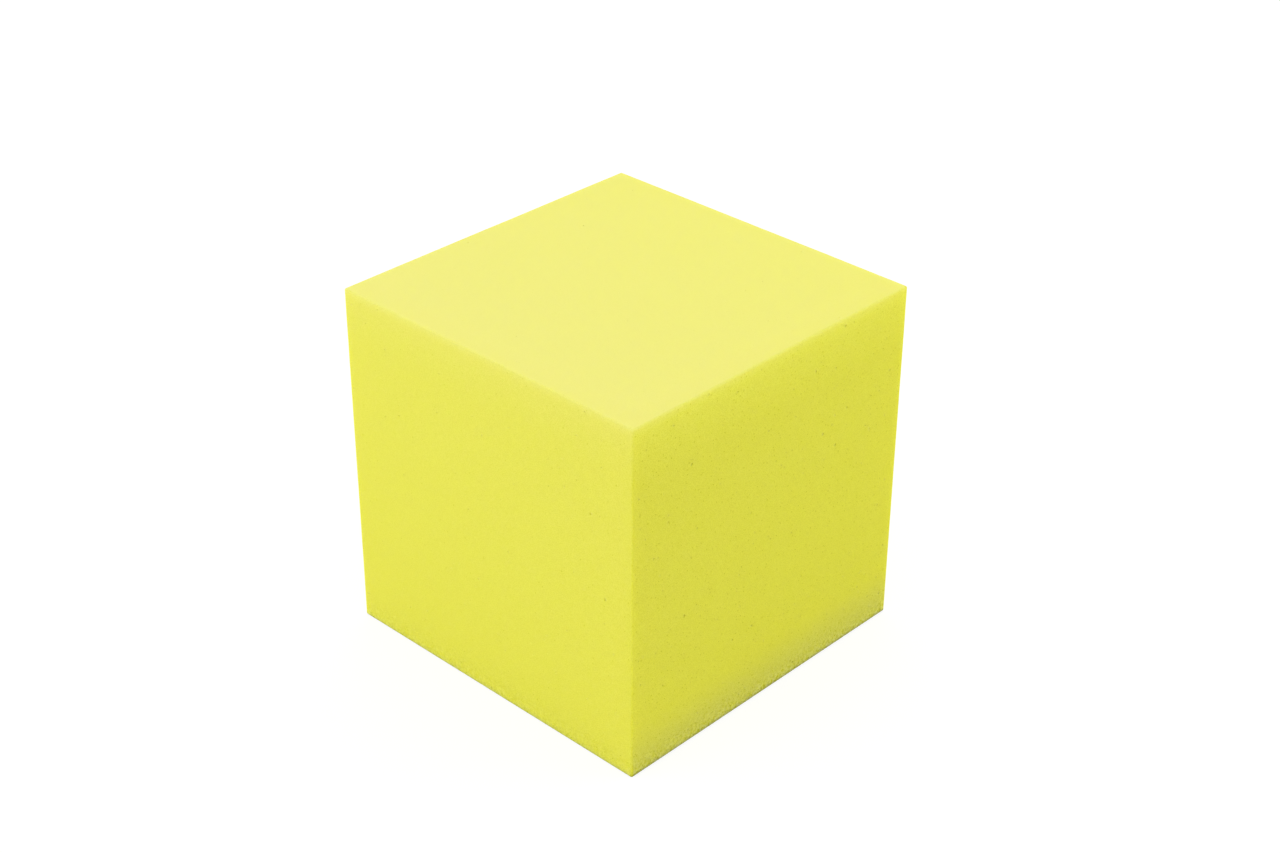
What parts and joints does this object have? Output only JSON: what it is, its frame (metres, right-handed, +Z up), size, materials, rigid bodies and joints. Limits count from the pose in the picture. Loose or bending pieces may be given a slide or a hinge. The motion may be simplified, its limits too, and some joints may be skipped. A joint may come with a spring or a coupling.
{
  "type": "foam block",
  "caption": "Plain cube-like block of soft open-cell foam, cut from a slab, with flat matte faces and lightly softened edges and corners.",
  "frame": {"origin": "middle of the base, on the surface that the block stands on", "axes": "+Z up out of the top face, +X to the right along the width, -Y out of the front face"},
  "size_m": [0.1516, 0.1504, 0.15],
  "materials": {
    "foam": "matte, fine open cells with scattered pinholes"
  },
  "bodies": {
    "root": {"foam_block": "foam"}
  },
  "joints": []
}
